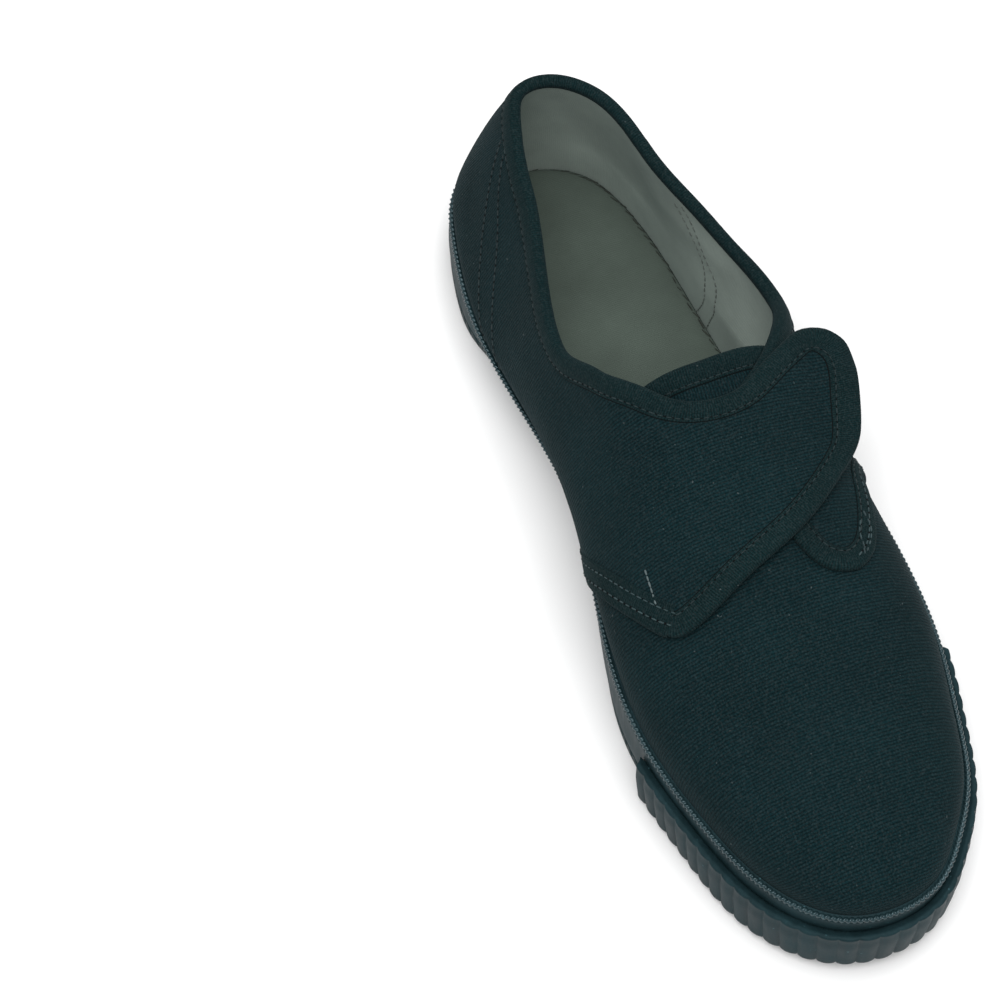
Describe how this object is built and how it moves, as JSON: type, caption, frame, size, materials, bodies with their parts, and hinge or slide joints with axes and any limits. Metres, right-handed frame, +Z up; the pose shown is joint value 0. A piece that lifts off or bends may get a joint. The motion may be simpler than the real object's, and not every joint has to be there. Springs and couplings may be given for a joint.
{
  "type": "plimsoll",
  "caption": "Left child's canvas plimsoll with a wide hook-and-loop strap over the instep, bound collar, rubber foxing band and ribbed toe bumper.",
  "frame": {"origin": "on the floor, under the middle of the bounding box", "axes": "+X towards the toe, +Y towards the outer (lateral) side, +Z up from the floor"},
  "size_m": [0.2376, 0.084, 0.0658],
  "materials": {
    "canvas": "plain-weave cotton canvas, matt",
    "rubber": "satin moulded rubber",
    "lining": "plain cotton lining cloth, matt"
  },
  "bodies": {
    "root": {"outsole": "rubber", "foxing": "rubber", "toe_bumper": "rubber", "insole": "lining", "upper": "canvas", "tongue": "canvas", "tab": "canvas", "strap": "canvas"}
  },
  "joints": []
}
